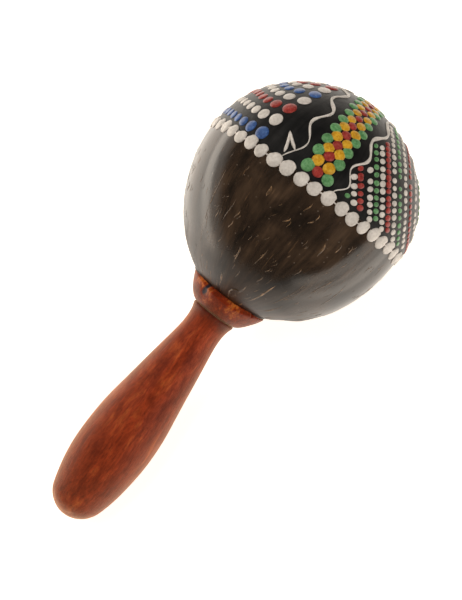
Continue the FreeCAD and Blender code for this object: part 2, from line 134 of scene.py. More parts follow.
def swellings(own):
    """The broad swellings of the nut, which die out before they reach the collar's seat."""
    start, end = SWELL_FADE
    share = max(0.0, min(1.0, (end - abs(latitude_of(own))) / (end - start)))
    total = 0.0
    for latitude, turn, width, size in SWELLINGS:
        middle = heading_degrees(latitude, turn)
        total += size * math.exp(-((own.angle(middle) / math.radians(width)) ** 2))
    return total * share**2 * (3 - 2 * share)


def lumps(own):
    """How far the real coconut stands off its turned outline: swellings, soft ridges and lumps."""
    fade = math.cos(latitude_of(own)) ** 2
    ridge = RIDGE_SIZE * math.cos(3 * math.atan2(own.y, own.x) + 0.9)
    lump = LUMP_SIZE * noise.noise(own * 2.2 + Vector((3.1, 0.4, 1.7)))
    return (ridge + lump) * fade + swellings(own)


def nut_point(own, out=0.0):
    """A point on the coconut's outside in the frame, in the direction own, raised by out."""
    reach = plain_radius(latitude_of(own)) + lumps(own) + out
    shift = OVERHANG * SIDEWAYS if own.z > 0 else Vector()
    return SEAM_CENTRE + in_frame(own) * reach + shift


def wall_point(own):
    """A point on the smooth inside of the coconut."""
    return SEAM_CENTRE + in_frame(own) * plain_radius(latitude_of(own), NUT_WALL)


# ---------------------------- meshes


def add_object(name, data):
    made = bpy.data.objects.new(name, data)
    bpy.context.scene.collection.objects.link(made)
    return made


def new_object(name, mesh_or_bmesh, material):
    """Adds a mesh as a smooth piece that rides on the instrument."""
    if isinstance(mesh_or_bmesh, bmesh.types.BMesh):
        mesh = bpy.data.meshes.new(name)
        bmesh.ops.recalc_face_normals(mesh_or_bmesh, faces=mesh_or_bmesh.faces)
        mesh_or_bmesh.to_mesh(mesh)
        mesh_or_bmesh.free()
    else:
        mesh = mesh_or_bmesh
    piece = add_object(name, mesh)
    mesh.materials.clear()
    mesh.materials.append(material)
    mesh.shade_smooth()
    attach(piece, BODY)
    return piece


def full_turn(count):
    """Evenly spaced angles round a circle."""
    return [2 * math.pi * k / count for k in range(count)]


def ring_of(bm, points):
    return [bm.verts.new(point) for point in points]


def bridge(bm, first, second):
    """Quads between two rings with the same number of vertices."""
    count = len(first)
    for k in range(count):
        bm.faces.new((first[k], first[(k + 1) % count], second[(k + 1) % count], second[k]))


def bridge_all(bm, rings):
    """Quads between each ring and the next."""
    for first, second in zip(rings, rings[1:]):
        bridge(bm, first, second)


def cap(bm, ring, point):
    """Triangles from a ring to one point."""
    tip = bm.verts.new(point)
    for k in range(len(ring)):
        bm.faces.new((ring[k], ring[(k + 1) % len(ring)], tip))


AROUND_STEPS = 256
UP_STEPS = 72


def shell_rings(bm, start, end, place):
    """Rings of the outer or inner wall between two latitudes."""
    rings = []
    for step in range(UP_STEPS + 1):
        latitude = start + (end - start) * step / UP_STEPS
        places = [place(heading(latitude, around)) for around in full_turn(AROUND_STEPS)]
        rings.append(ring_of(bm, places))
    bridge_all(bm, rings)
    return rings


SEAM_LATITUDE = math.asin(SEAM_GAP / 2 / NUT_RADIUS)


def make_lower_shell(material):
    """The half of the coconut with the hole for the tenon."""
    bm = bmesh.new()
    hole = -math.acos(HOLE_RADIUS / plain_radius(-1.4))
    outer = shell_rings(bm, -SEAM_LATITUDE, hole, nut_point)
    inner = shell_rings(bm, -SEAM_LATITUDE, hole, wall_point)
    bridge(bm, outer[0], inner[0])
    bridge(bm, outer[-1], inner[-1])
    piece = new_object("coconut_lower_half", bm, material)
    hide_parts("lower_shell")


def make_upper_shell(material):
    """The closed half of the coconut, under the paint."""
    bm = bmesh.new()
    last = math.radians(89.2)
    outer = shell_rings(bm, SEAM_LATITUDE, last, nut_point)
    inner = shell_rings(bm, SEAM_LATITUDE, last, wall_point)
    bridge(bm, outer[0], inner[0])
    crown = Vector((0, 0, 1))
    cap(bm, outer[-1], nut_point(crown))
    cap(bm, inner[-1], wall_point(crown))
    piece = new_object("coconut_upper_half", bm, material)
    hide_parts("upper_shell")


# ---------------------------- turned wood


def worn_copy(node, voxel, wear, name, material):
    """A finer copy of a turned part, with soft edges, each point put where wear says."""
    mesh = frame["nodes"][node].data.copy()
    bm = bmesh.new()
    bm.from_mesh(mesh)
    bmesh.ops.remove_doubles(bm, verts=bm.verts, dist=0.001 * MM)
    for vertex in bm.verts:
        vertex.co = TO_OWN @ (vertex.co - BUTT)
    bm.to_mesh(mesh)
    bm.free()
    draft = add_object(name + "_draft", mesh)
    remesh = draft.modifiers.new("fine", "REMESH")
    remesh.mode = "VOXEL"
    remesh.voxel_size = voxel
    soften = draft.modifiers.new("soft", "SMOOTH")
    soften.factor = 0.5
    soften.iterations = 3
    draft_now = draft.evaluated_get(bpy.context.evaluated_depsgraph_get())
    fine = bpy.data.meshes.new_from_object(draft_now)
    bpy.data.objects.remove(draft)
    moved = [wear(vertex.co.copy(), vertex.normal.copy()) for vertex in fine.vertices]
    for vertex, place in zip(fine.vertices, moved):
        vertex.co = at(place.z, place.x, place.y)
    piece = new_object(name, fine, material)
    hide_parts(node)


def ramp_up(value, start, end):
    """Nought before start, one after end, and a straight line between."""
    return max(0.0, min(1.0, (value - start) / (end - start)))


def outwards(place):
    return Vector((place.x, place.y, 0)).normalized()


HANDLE_WAVE = 0.25 * MM
WAVE_ACROSS = 14 * MM
WAVE_ALONG = 22 * MM
DENT_DEPTH = 0.6 * MM
DENT_SPACING = 5 * MM
BUTT_END = 14 * MM
SHOULDER = (111 * MM, 116.4 * MM)
SHOULDER_WEAR = 0.30 * MM


def wear_handle(place, normal):
    """The slow waves that hand turning leaves, dents at the butt, and a softened shoulder."""
    cells = Vector((place.x / WAVE_ACROSS, place.y / WAVE_ACROSS, place.z / WAVE_ALONG))
    waves = HANDLE_WAVE * noise.noise(cells)
    dents = noise.noise(place / DENT_SPACING + Vector((7.0, 2.0, 5.0)))
    butt = 1 - ramp_up(place.z, 0, BUTT_END)
    push = waves - DENT_DEPTH * butt * max(0.0, dents - 0.15)
    return place + normal * push - outwards(place) * SHOULDER_WEAR * ramp_up(place.z, *SHOULDER)


# The chip in the collar below its rim, where the old glue shows.
CHIP_TURN = math.radians(-34)
CHIP_HEIGHT = 124.6 * MM
CHIP_RADIUS = 16.2 * MM
CHIP_HALF_TURN = math.radians(8)
CHIP_HALF_HEIGHT = 2.6 * MM
CHIP_DEPTH = 0.9 * MM

# The bore doesn't wear: the wear of the outside starts between these distances from the axis.
COLLAR_WALL = (9 * MM, 11 * MM)
COLLAR_WAVE = 0.15 * MM
COLLAR_FOOT = (118 * MM, 122 * MM)
FOOT_FLARE = 0.30 * MM

RIM_TOP = 129.0 * MM
RIM_DIP = 1.8 * MM
NICK_DEPTH = 0.9 * MM
LIP_THICKNESS = 0.25 * MM
LIP_ROUNDING = 0.5 * MM
LIP_START = -0.8 * MM

# On one side the collar is narrower, and more so towards the rim.
NARROWING = 0.8 * MM
NARROW_HEIGHTS = (121 * MM, 127 * MM)


@functools.cache
def latitude_at_height(height):
    """Latitude at which the lower half's outside is at this height along the axis."""
    low, high = math.radians(-89), math.radians(-1)
    for _ in range(40):
        middle = (low + high) / 2
        if plain_radius(middle) * math.sin(middle) < height - SEAM_HEIGHT:
            low = middle
        else:
            high = middle
    return low


def rim_top(turn):
    """Height of the collar's uneven rim, which dips on the upper side and is nicked all round."""
    nicks = noise.noise(Vector((7 * math.cos(turn), 7 * math.sin(turn), 0.5)))
    dip = RIM_DIP * max(0.0, math.cos(turn)) ** 1.5
    return RIM_TOP - dip - NICK_DEPTH * max(0.0, nicks - 0.05)


def thin_to_a_lip(worn, top):
    """Draws a point in so that the wall thins upwards and ends as a lip against the coconut."""
    latitude = latitude_at_height(round(top, 5))
    lip = plain_radius(latitude) * math.cos(latitude) + LIP_THICKNESS + (top - worn.z)
    over = math.hypot(worn.x, worn.y) - lip
    draw_in = (over + math.hypot(over, LIP_ROUNDING)) / 2 * ramp_up(over, LIP_START, 0.0)
    return worn - outwards(worn) * draw_in


def wear_collar(place, normal):
    """The uneven rim thinned to a lip, the chip below it, a level foot and a narrower side."""
    turn = math.atan2(place.y, place.x)
    side = ramp_up(math.hypot(place.x, place.y), *COLLAR_WALL)
    waves = COLLAR_WAVE * noise.noise(place / (8 * MM))
    chip_turn = (turn - CHIP_TURN) / CHIP_HALF_TURN
    chip_height = (place.z - CHIP_HEIGHT) / CHIP_HALF_HEIGHT
    push = waves - CHIP_DEPTH * math.exp(-(chip_turn**2 + chip_height**2)) * side
    foot = 1 - ramp_up(place.z, *COLLAR_FOOT)
    worn = place + normal * push + outwards(place) * FOOT_FLARE * foot * side
    top = rim_top(turn)
    worn.z = min(worn.z, top)
    worn = thin_to_a_lip(worn, top)
    narrow = ramp_up(-math.sin(turn), 0.3, 1.0) * ramp_up(worn.z, *NARROW_HEIGHTS)
    return worn - outwards(place) * NARROWING * narrow


BEAD_STEPS = 240
BEAD_SIDES = 8


def bead_radius(turn):
    """Half the thickness of the line of glue, which varies round the rim."""
    return (0.28 + 0.12 * noise.noise(Vector((9 * math.cos(turn), 9 * math.sin(turn), 3.5)))) * MM


def make_seat_bead(material):
    """The thin uneven line of glue squeezed out between the collar's rim and the coconut."""
    bm = bmesh.new()
    rings = []
    for turn in full_turn(BEAD_STEPS):
        thick = bead_radius(turn)
        latitude = latitude_at_height(rim_top(turn) - 0.1 * MM)
        middle = nut_point(heading(latitude, turn), 0.05 * MM)
        out = in_frame(heading(latitude, turn))
        along = out.cross(in_frame(heading(0, turn + math.pi / 2))).normalized()
        corners = full_turn(BEAD_SIDES)
        spokes = [out * math.cos(corner) + along * math.sin(corner) for corner in corners]
        rings.append(ring_of(bm, [middle + spoke * thick for spoke in spokes]))
    for k, ring in enumerate(rings):
        bridge(bm, ring, rings[(k + 1) % BEAD_STEPS])
    piece = new_object("seat_glue_line", bm, material)
    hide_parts("seat_glue")


# ---------------------------- places in the painted pattern

ROAD_TURN = math.radians(-2)
ROAD_OUT = heading(0, ROAD_TURN)
ROAD_ACROSS = heading(0, ROAD_TURN + math.pi / 2)
CLIMBS = [math.pi / 2 * k / 180 for k in range(181)]


def measure_climbs():
    """How far over the shell it is from the seam to each of the climbs."""
    outline = [Vector((math.cos(climb), math.sin(climb))) * plain_radius(climb) for climb in CLIMBS]
    arcs = [0.0]
    for first, second in zip(outline, outline[1:]):
        arcs.append(arcs[-1] + (second - first).length)
    return arcs


ARCS = measure_climbs()
OVER = 2 * ARCS[-1]


def road_direction(arc, across):
    """The place that is arc along the road of dots from the seam, over the crown, and across it."""
    climb = float(np.interp(min(arc, OVER - arc), ARCS, CLIMBS))
    turn = across / plain_radius(climb)
    if arc > OVER / 2:
        climb = math.pi - climb
    along = ROAD_OUT * math.cos(climb) + Vector((0, 0, 1)) * math.sin(climb)
    return along * math.cos(turn) + ROAD_ACROSS * math.sin(turn)


def road_place(own):
    """Arc and across of a direction: the reverse of road_direction."""
    climb = math.atan2(own.z, own.dot(ROAD_OUT))
    low = min(climb, math.pi - climb)
    arc = float(np.interp(low, CLIMBS, ARCS))
    across = math.asin(max(-1.0, min(1.0, own.dot(ROAD_ACROSS)))) * plain_radius(low)
    return (arc if climb <= math.pi / 2 else OVER - arc), across


def walk(curve, start, end, gap):
    """Directions along a curve, the first at its start, gap(k) metres between number k and the next."""
    steps = 1500
    places = []
    wait = 0.0
    before = None
    for step in range(steps + 1):
        own = curve(start + (end - start) * step / steps)
        if before is not None:
            wait -= (own - before).length * plain_radius(latitude_of(own))
        before = own
        if wait <= 0:
            places.append(own)
            wait += gap(len(places) - 1)
    return places


def left_line_across(arc):
    """The wavy line to the left of the road: it steps in and out every 20 mm."""
    start = 1.9 * math.exp(-arc / (2.5 * MM))
    return -(11.7 + start + 2.2 * math.cos(math.pi * (arc / MM - 1.3) / 10.1)) * MM


def right_line_across(arc):
    """The wavy line to the right, whose steps grow longer towards the crown."""
    half_waves = (-5.0 + math.sqrt(25.0 + 2.72 * max(0.0, arc / MM - 2.1))) / 1.36
    return (12.4 - 1.9 * math.cos(math.pi * half_waves)) * MM


# ---------------------------- drops and lines of paint

DROP_RINGS = ((1.0, -0.06), (0.97, 0.28), (0.86, 0.62), (0.62, 0.88), (0.32, 0.98))
DROP_SIDES = 20
SUNK = 0.15 * MM


def tangents(own):
    """Two directions along the surface at own: towards the crown, and around."""
    around = Vector((0, 0, 1)).cross(own).normalized()
    return own.cross(around).normalized(), around


def add_drop(bm, own, radius, height, draw, stretch=1.0, lean=None):
    """One closed drop of thick paint, a little uneven, with its underside in the layer below."""
    up, around = tangents(own)
    if lean is not None:
        up = (lean - own * lean.dot(own)).normalized()
        around = own.cross(up)
    phase = draw.uniform(0, 2 * math.pi)
    unevenness = draw.uniform(0.01, 0.05)
    reach = plain_radius(latitude_of(own))

    def place(share, turn, out):
        wobble = 1 + unevenness * math.sin(2 * turn + phase)
        offset = (up * math.cos(turn) * stretch + around * math.sin(turn)) * radius * share * wobble
        return nut_point((own + offset / reach).normalized(), out)

    rings = [
        ring_of(bm, [place(share, turn, height * rise) for turn in full_turn(DROP_SIDES)])
        for share, rise in DROP_RINGS
    ]
    bridge_all(bm, rings)
    cap(bm, rings[-1], nut_point(own, height))
    cap(bm, rings[0], nut_point(own, -SUNK))


def add_line(bm, path, half_width, height):
    """A raised line of paint or fibre along directions on the shell, thin at both ends.

    half_width gives metres for the share of the way along."""
    profile = ((-1, -0.1), (-0.75, 0.7), (0, 1), (0.75, 0.7), (1, -0.1), (0, -SUNK / height))
    rings = []
    last = len(path) - 1
    for k, own in enumerate(path):
        forward = path[min(k + 1, last)] - path[max(k - 1, 0)]
        side = own.cross(forward).normalized()
        ends = min(1.0, 0.25 + 4.0 * min(k, last - k) / last)
        width = half_width(k / last) * ends
        reach = plain_radius(latitude_of(own))
        places = [
            nut_point((own + side * width * across / reach).normalized(), height * rise * ends)
            for across, rise in profile
        ]
        rings.append(ring_of(bm, places))
    bridge_all(bm, rings)
    bm.faces.new(rings[0])
    bm.faces.new(rings[-1])


def add_drops(bm, places, radius, height, draw, spread=0.05, **shape):
    """Drops at all the places, with sizes that differ by the spread."""
    for own in places:
        scale = draw.uniform(1 - spread, 1 + spread)
        add_drop(bm, own, radius * scale, height * scale, draw, **shape)


BAND_DROPS = 47
BAND_TURN = math.radians(2.4)
BAND_RADIUS = 3.15 * MM
BAND_HEIGHT = 0.70 * MM
THREAD_HEIGHT = 0.45 * MM


def make_seam_band(white):
    """The row of big white drops over the seam, with the threads that the brush drew between them."""
    draw = random.Random(11)
    bm = bmesh.new()
    turns = [
        2 * math.pi * (k + draw.uniform(-0.06, 0.06)) / BAND_DROPS + BAND_TURN
        for k in range(BAND_DROPS)
    ]
    middles = [heading(math.radians(draw.uniform(-2.0, -1.2)), turn) for turn in turns]
    add_drops(bm, middles, BAND_RADIUS, BAND_HEIGHT, draw, spread=0.08)
    for k, first in enumerate(middles):
        if draw.random() < 0.25:
            continue
        second = middles[(k + 1) % BAND_DROPS]
        path = [first.lerp(second, 0.2 + 0.6 * step / 6).normalized() for step in range(7)]
        thread = draw.uniform(0.25, 0.5) * MM
        add_line(bm, path, lambda share, thread=thread: thread, THREAD_HEIGHT)
    new_object("band_drops", bm, white)


def road_arc(row):
    """Arc of the road's row of green and red drops: the first gap is the longest."""
    return (4.3 + 6.5 * row + 1.5 * min(row, 1)) * MM


# Colour, distance across the road, share of a row further on, and radius of each column of drops.
ROAD_COLUMNS = (
    ("green", -4.5 * MM, 0.0, 2.75 * MM),
    ("green", 5.6 * MM, 0.0, 2.7 * MM),
    ("red", 0.6 * MM, 0.0, 2.35 * MM),
    ("yellow", -2.0 * MM, 0.5, 2.65 * MM),
    ("yellow", 3.4 * MM, 0.5, 2.6 * MM),
)
ROAD_END = OVER - 4 * MM


def make_road(materials):
    """The road of touching drops: green edges, yellow between, red in the middle."""
    rows = 1
    while road_arc(rows) < ROAD_END:
        rows += 1
    draw = random.Random(23)
    for colour in ("green", "red", "yellow"):
        bm = bmesh.new()
        for name, across, further, radius in ROAD_COLUMNS:
            if name != colour:
                continue
            for row in range(rows):
                arc = road_arc(row) * (1 - further) + road_arc(row + 1) * further
                if arc > ROAD_END:
                    continue
                jitter = draw.uniform(-0.35, 0.35) * MM
                place = road_direction(arc + jitter, across + draw.uniform(-0.3, 0.3) * MM)
                shrink = max(0.78, 1 - 0.035 * min(row, rows - row))
                add_drops(bm, [place], radius * shrink, 0.6 * MM, draw)
        new_object("road_" + colour, bm, materials[colour])


def finish_fields(prefix, fields, materials):
    """One piece for each colour of a field."""
    for colour, bm in fields.items():
        new_object(prefix + colour, bm, materials[colour])


def row_direction(crest, swing):
    """A place in a row of the left field: across from the road at first, level at the far side."""
    along = ROAD_OUT * math.cos(crest) + Vector((0, 0, 1)) * math.sin(crest)
    own = along * math.cos(swing) - ROAD_ACROSS * math.sin(swing)
    share = max(0.0, (abs(swing) - math.radians(32)) / math.radians(58))
    low_crest = min(crest, math.pi - crest)
    far_latitude = (math.degrees(low_crest) * 0.72 + 1.0) * share**2 * (3 - 2 * share)
    latitude = latitude_of(own) + math.radians(far_latitude)
    return heading(latitude, math.atan2(own.y, own.x))


ROW_COLOURS = ("blue", "white", "red", "white", "blue", "white", "red", "white", "blue")


def row_bounds(number):
    """A row's crest over the shell, and the swings from the road at which it starts and ends."""
    crest = 6 + 10.4 * number - 0.12 * number**2
    start = 31.5 - 1.6 * number + (1.2 if number < 3 else 0)
    end = 90 if number < 7 else 45
    return math.radians(crest), math.radians(start), math.radians(end)


def row_gap(k):
    """The gap after drop k of a row, widest beside the road."""
    return (4.5 + 2.8 * math.exp(-k / 1.6)) * MM


def row_drop(k):
    """Radius and height of drop k of a row, biggest beside the road."""
    return (1.95 + 1.1 * math.exp(-k / 2.0)) * MM, (0.40 + 0.30 * math.exp(-k / 2.0)) * MM


def make_left_field(materials):
    """The rows of drops to the left of the left line, on both sides of the crown."""
    draw = random.Random(37)
    fields = {colour: bmesh.new() for colour in ("blue", "white", "red")}
    for number, colour in enumerate(ROW_COLOURS):
        crest, start, end = row_bounds(number)
        for side in (crest, math.pi - crest):
            places = walk(functools.partial(row_direction, side), start, end, row_gap)
            for k, own in enumerate(places):
                add_drops(fields[colour], [own], *row_drop(k), draw, lean=ROAD_OUT)
    finish_fields("left_field_", fields, materials)


STRIPE_COLOURS = ("green", "white", "red", "white") * 3 + ("green", "white")
STRIPE_NORMAL = Vector((0, 0.8, 0.6))
STRIPE_RADII = {"green": 1.08 * MM, "white": 1.2 * MM, "red": 1.2 * MM}
STRIPE_GAPS = {"green": 3.1 * MM, "white": 3.2 * MM, "red": 2.7 * MM}
STRIPE_HEIGHT = 0.40 * MM


def stripe_direction(offset, turn):
    """A place on the shell on the plane of one stripe, turned about the stripes' normal."""
    first = Vector((1, 0, 0))
    second = STRIPE_NORMAL.cross(first)
    spoke = first * math.cos(turn) + second * math.sin(turn)
    own = STRIPE_NORMAL
    angle = math.acos(offset / NUT_RADIUS)
    for _ in range(6):
        own = (STRIPE_NORMAL * math.cos(angle) + spoke * math.sin(angle)).normalized()
        angle = math.acos(min(1.0, offset / plain_radius(latitude_of(own))))
    return own


def in_right_field(own):
    """Whether a place is above the white band and clear of the right line."""
    arc, across = road_place(own)
    return own.z > math.sin(math.radians(2.6)) and across > right_line_across(arc) + 1.4 * MM


def stripe_offset(number):
    """Distance of a stripe's plane from the seam's centre: after the third comes a wider gap."""
    return (13.9 + 2.72 * number + (1.4 if number > 2 else 0)) * MM


def make_right_field(materials):
    """The field of fine parallel stripes of small drops to the right of the right line."""
    draw = random.Random(41)
    fields = {colour: bmesh.new() for colour in STRIPE_RADII}
    for number, colour in enumerate(STRIPE_COLOURS):
        gap = STRIPE_GAPS[colour]
        places = walk(
            functools.partial(stripe_direction, stripe_offset(number)),
            math.radians(draw.uniform(-4, 4)),
            math.radians(360),
            lambda k, gap=gap: gap * draw.uniform(0.88, 1.12),
        )
        # The last drop is left out where the ring closes too near the first.
        if (places[0] - places[-1]).length * NUT_RADIUS < 0.8 * gap:
            places.pop()
        inside = [own for own in places if in_right_field(own)]
        shape = {"spread": 0.10, "stretch": 1.25, "lean": Vector((1, 0, 0))}
        add_drops(fields[colour], inside, STRIPE_RADII[colour], STRIPE_HEIGHT, draw, **shape)
    finish_fields("right_field_", fields, materials)


LINE_STEPS = 420
LINE_START = 1.5 * MM
LINE_HEIGHT = 0.7 * MM

# Arc and across in millimetres of the spike's tip, and of its two feet with each one's bend.
SPIKE_TIP = (12.4, -18.7)
SPIKE_FEET = ((3.2, -15.2, 0.45), (6.4, -11.9, -0.45))
SPIKE_STEPS = 12
SPIKE_HEIGHT = 0.8 * MM


def line_half_width(share):
    """Half the width of a wavy line, which a brush laid down unevenly."""
    return (0.72 + 0.16 * math.sin(61 * share) + 0.12 * math.sin(143 * share)) * MM


def spike_half_width(share):
    return (0.84 - 0.30 * share) * MM


def make_lines(white):
    """The two wavy lines beside the road, and the forked spike on the left one."""
    bm = bmesh.new()
    arcs = [LINE_START + (OVER - 2 * LINE_START) * k / LINE_STEPS for k in range(LINE_STEPS + 1)]
    for across_at in (left_line_across, right_line_across):
        path = [road_direction(arc, across_at(arc)) for arc in arcs]
        add_line(bm, path, line_half_width, LINE_HEIGHT)
    for foot_arc, foot_across, bend in SPIKE_FEET:
        path = []
        for k in range(SPIKE_STEPS + 1):
            share = k / SPIKE_STEPS
            arc = foot_arc + (SPIKE_TIP[0] - foot_arc) * share
            straight = foot_across + (SPIKE_TIP[1] - foot_across) * share
            across = straight + bend * math.sin(math.pi * share)
            path.append(road_direction(arc * MM, across * MM))
        add_line(bm, path, spike_half_width, SPIKE_HEIGHT)
    new_object("wavy_lines", bm, white)


# ---------------------------- fibres in the shell

# Latitude and turn of each end in degrees, and half the width in millimetres.
LONG_FIBRES = (
    ((-18, -40), (-39, -41), 0.22),
    ((-26, -26), (-38, -28), 0.22),
    ((-66, 20), (-48, 22), 0.40),
    ((-28, 43), (-40, 41), 0.28),
    ((-38, 33), (-58, 34), 0.20),
    ((-12, -14), (-17, -13), 0.75),
    ((-18, 23), (-25, 25), 0.55),
    ((-60, -16), (-65, -14), 0.35),
    ((-48, 11), (-53, 11), 0.28),
    ((-7, 6), (-13, 5), 0.30),
    ((-14, 30), (-19, 31), 0.25),
)

# Latitude and turn in degrees along the fibre that curls up beside the collar.
CURLED_FIBRE = ((-73, 2), (-70.5, 0), (-68, -1), (-66, -0.5), (-64.6, 1.2), (-63.8, 3.4), (-63.4, 6))
SMALL_FIBRES = 330
FIBRE_STEPS = 12


def fibre_path(first, second):
    """Directions between two places given by latitude and turn in degrees."""
    path = []
    for k in range(FIBRE_STEPS + 1):
        share = k / FIBRE_STEPS
        latitude = first[0] + (second[0] - first[0]) * share
        turn = first[1] + (second[1] - first[1]) * share + 0.4 * math.sin(5 * share)
        path.append(heading_degrees(latitude, turn))
    return path


def spindle(half_width, ends):
    """The half width along a fibre, widest in the middle, with the ends as a share of that."""
    return lambda share: half_width * (ends + (1 - ends) * math.sin(math.pi * share))


def make_fibres(material):
    """The pale fibres of the husk that are left in the polished shell, most near the collar."""
    draw = random.Random(53)
    bm = bmesh.new()
    for first, second, half_width in LONG_FIBRES:
        add_line(bm, fibre_path(first, second), spindle(half_width * MM, 0.35), 0.10 * MM)
    curl = [heading_degrees(latitude, turn) for latitude, turn in CURLED_FIBRE]
    add_line(bm, curl, lambda share: 0.30 * MM, 0.45 * MM)
    for _ in range(SMALL_FIBRES):
        latitude = -6 - 64 * draw.random() ** 0.8
        turn = draw.uniform(-180, 180)
        length = draw.uniform(1.5, 5) + (6 if draw.random() < 0.15 else 0)
        lean = draw.gauss(0, 5)
        half_width = draw.uniform(0.08, 0.26) * MM
        end = (max(-74, latitude - length), turn + lean * length / 20)
        add_line(bm, fibre_path((latitude, turn), end), spindle(half_width, 0.3), 0.07 * MM)
    new_object("husk_fibres", bm, material)


# ---------------------------- materials


def grey(value):
    return (value, value, value)


class Surface:
    """A node material whose coordinates are millimetres in the instrument's own axes."""

    def __init__(self, name, roughness, origin=None, coat=0.0, coat_roughness=0.1):
        self.material = bpy.data.materials.new(name)
        self.material.use_nodes = True
        self.nodes = self.material.node_tree.nodes
        self.links = self.material.node_tree.links
        self.shader = self.nodes["Principled BSDF"]
        self.shader.inputs["Roughness"].default_value = roughness
        self.shader.inputs["Coat Weight"].default_value = coat
        self.shader.inputs["Coat Roughness"].default_value = coat_roughness
        coordinates = self.nodes.new("ShaderNodeTexCoord")
        mapping = self.nodes.new("ShaderNodeMapping")
        mapping.inputs["Scale"].default_value = (1 / MM, 1 / MM, 1 / MM)
        mapping.inputs["Rotation"].default_value = TO_OWN.to_euler()
        start = TO_OWN @ (BUTT if origin is None else origin)
        mapping.inputs["Location"].default_value = -start / MM
        self.links.new(coordinates.outputs["Object"], mapping.inputs["Vector"])
        self.own = mapping.outputs["Vector"]

    def vector(self, operation, *values):
        """A vector maths node on sockets or constant vectors."""
        node = self.nodes.new("ShaderNodeVectorMath")
        node.operation = operation
        for socket, value in zip(node.inputs, values):
            self.feed(socket, value)
        return node.outputs["Vector"]

    def maths(self, operation, *values):
        """A maths node on sockets or constant numbers."""
        node = self.nodes.new("ShaderNodeMath")
        node.operation = operation
        for socket, value in zip(node.inputs, values):
            self.feed(socket, value)
        return node.outputs["Value"]

    def height(self):
        """Millimetres along the axis from the material's origin."""
        node = self.nodes.new("ShaderNodeSeparateXYZ")
        self.links.new(self.own, node.inputs["Vector"])
        return node.outputs["Z"]

    def distance(self, vector, place):
        """How far a vector socket is from a constant place."""
        node = self.nodes.new("ShaderNodeVectorMath")
        node.operation = "DISTANCE"
        self.feed(node.inputs[0], vector)
        self.feed(node.inputs[1], place)
        return node.outputs["Value"]

    def feed(self, socket, value):
        """Links a socket to a socket, or sets it to a constant."""
        if isinstance(value, bpy.types.NodeSocket):
            self.links.new(value, socket)
        else:
            socket.default_value = value

    def noise(self, vector, scale, detail=3.0, roughness=0.5, distortion=0.0):
        node = self.nodes.new("ShaderNodeTexNoise")
        self.links.new(vector, node.inputs["Vector"])
        node.inputs["Scale"].default_value = scale
        node.inputs["Detail"].default_value = detail
        node.inputs["Roughness"].default_value = roughness
        node.inputs["Distortion"].default_value = distortion
        return node.outputs["Fac"]

    def specks(self, scale):
        """Scattered round specks, one for about every third cell."""
        cells = self.nodes.new("ShaderNodeTexVoronoi")
        self.links.new(self.own, cells.inputs["Vector"])
        cells.inputs["Scale"].default_value = scale
        near = self.ramp(cells.outputs["Distance"], (0.06, grey(0.8)), (0.15, grey(0.0)))
        chosen = self.ramp(cells.outputs["Color"], (0.55, grey(0.0)), (0.70, grey(1.0)))
        return self.multiply(near, chosen)

    def ramp(self, factor, *stops):
        """A colour ramp from (position, linear colour) stops."""
        node = self.nodes.new("ShaderNodeValToRGB")
        elements = node.color_ramp.elements
        while len(elements) < len(stops):
            elements.new(0.5)
        for element, (position, colour) in zip(elements, stops):
            element.position = position
            element.color = (*colour, 1.0)
        self.links.new(factor, node.inputs["Fac"])
        return node.outputs["Color"]

    def mix(self, factor, first, second, blend="MIX"):
        """First and second, mixed or blended by the factor."""
        node = self.nodes.new("ShaderNodeMix")
        node.data_type = "RGBA"
        node.blend_type = blend
        colours = [socket for socket in node.inputs if socket.type == "RGBA"]
        self.feed(node.inputs["Factor"], factor)
        self.feed(colours[0], first)
        self.feed(colours[1], second)
        return [socket for socket in node.outputs if socket.type == "RGBA"][0]

    def multiply(self, first, second):
        return self.mix(1.0, first, second, "MULTIPLY")

    def finish(self, colour, heights=(), roughness=None):
        """Connects the colour, a chain of (height, depth in metres) bumps and any roughness."""
        self.feed(self.shader.inputs["Base Color"], colour)
        normal = None
        for height, depth in heights:
            bump = self.nodes.new("ShaderNodeBump")
            bump.inputs["Distance"].default_value = depth
            self.links.new(height, bump.inputs["Height"])
            if normal is not None:
                self.links.new(normal, bump.inputs["Normal"])
            normal = bump.outputs["Normal"]
        if normal is not None:
            self.links.new(normal, self.shader.inputs["Normal"])
        if roughness is not None:
            self.links.new(roughness, self.shader.inputs["Roughness"])
        return self.material


class StainedWood(Surface):
    """Reddish stain over open-grained wood, blotched, with the grain along the axis."""

    def __init__(self, name, tones, sheen):
        """The tones are the dark, the middle and the light colour."""
        super().__init__(name, 0.45)
        self.shader.inputs["Specular IOR Level"].default_value = 0.16
        self.shader.inputs["Sheen Weight"].default_value = sheen
        self.shader.inputs["Sheen Roughness"].default_value = 0.45
        self.shader.inputs["Sheen Tint"].default_value = (1.0, 0.54, 0.28, 1.0)
        self.grain = self.noise(self.lengthened(0.10), 1.0, 5.0, 0.65)
        self.pores = self.noise(self.lengthened(0.22), 3.2, 3.0, 0.6)
        self.blotches = self.noise(self.lengthened(0.38), 0.17, 5.0, 0.66, 0.4)
        colour = self.ramp(self.blotches, *zip((0.32, 0.54, 0.78), tones))
        streaks = self.ramp(self.grain, (0.30, grey(0.60)), (0.52, grey(1.0)), (0.80, grey(1.55)))
        plain = ((0.46, grey(1.0)), (0.62, grey(1.0)))
        flecks = self.ramp(self.pores, (0.34, grey(0.55)), *plain, (0.74, (1.3, 1.45, 1.4)))
        self.colour = self.multiply(self.multiply(colour, streaks), flecks)

    def lengthened(self, share):
        """Coordinates that lengthen a pattern along the axis."""
        return self.vector("MULTIPLY", self.own, (1.0, 1.0, share))

    def finish_wood(self, colour):
        """Connects the colour with the grain's relief, and makes the pores duller."""
        roughness = self.maths("MULTIPLY_ADD", self.pores, -0.25, 0.55)
        return self.finish(colour, [(self.grain, 0.12 * MM), (self.pores, 0.06 * MM)], roughness)


